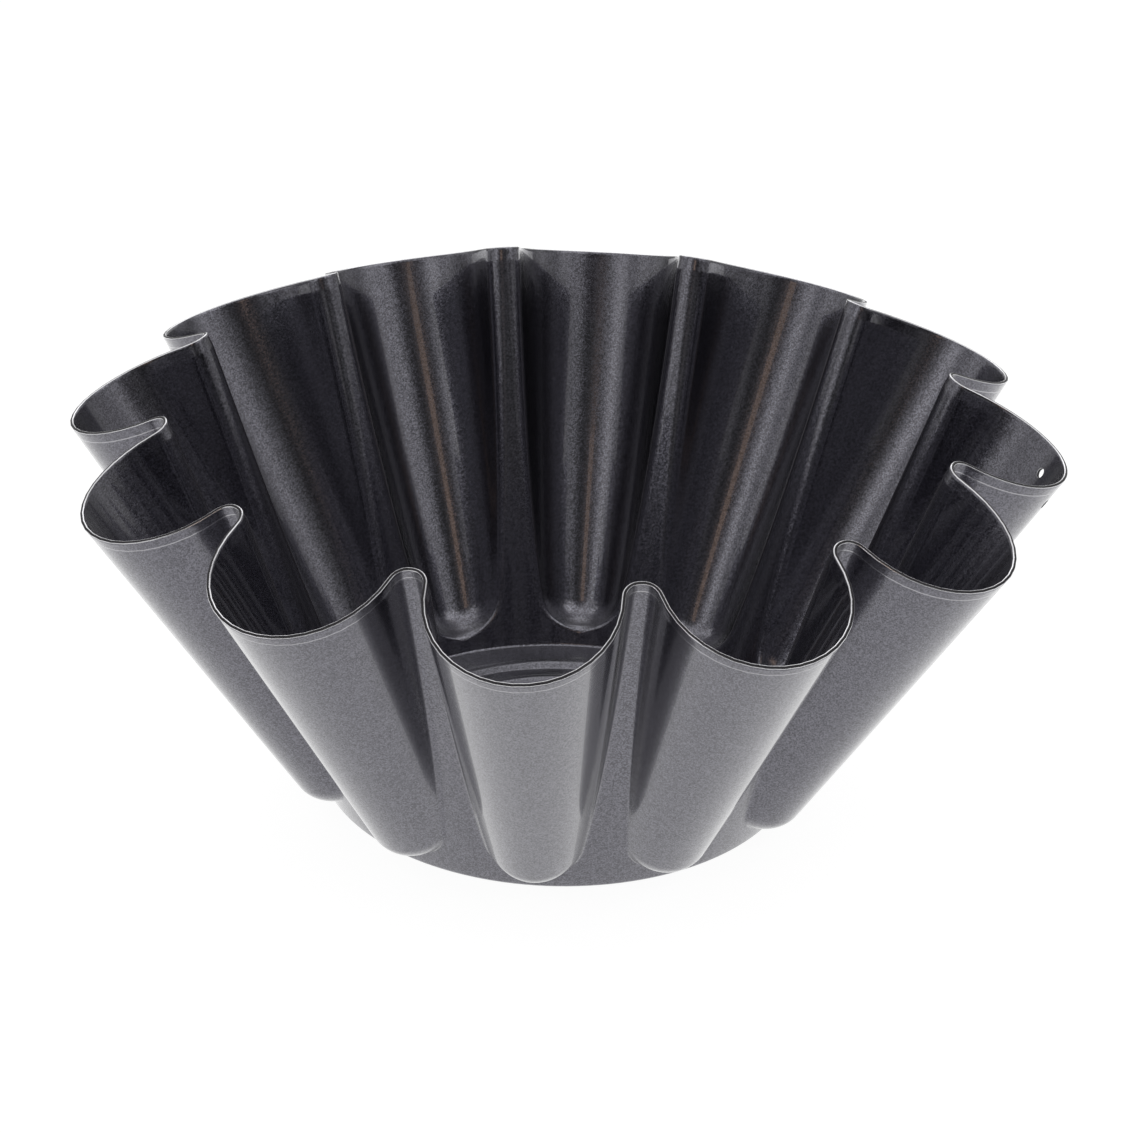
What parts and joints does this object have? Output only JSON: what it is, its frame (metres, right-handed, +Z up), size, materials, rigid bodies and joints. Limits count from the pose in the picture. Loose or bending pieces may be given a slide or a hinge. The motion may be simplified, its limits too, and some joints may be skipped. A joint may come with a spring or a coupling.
{
  "type": "brioche mould",
  "caption": "Fluted round baking mould with sloping walls, a plain cut rim, a small ringed base and a pair of small hanging holes, in coated pressed steel.",
  "frame": {"origin": "middle of the foot's underside, on the mould's axis, in the plane of the surface it stands on", "axes": "+Z up along the mould's axis, +X through the middle of the flute that has the two holes"},
  "size_m": [0.2216, 0.2216, 0.0928],
  "materials": {
    "outer_coat": "dark grey metallic-flake non-stick coat, semi-gloss, the same on both faces",
    "steel": "bare steel at the sheared edge of the rim and in the holes",
    "inner_coat": "dark grey metallic-flake non-stick coat, semi-gloss, the same on both faces"
  },
  "bodies": {
    "root": {"outer_nonstick_coating": "outer_coat", "pressed_steel_shell": "steel", "inner_nonstick_coating": "inner_coat"}
  },
  "joints": []
}
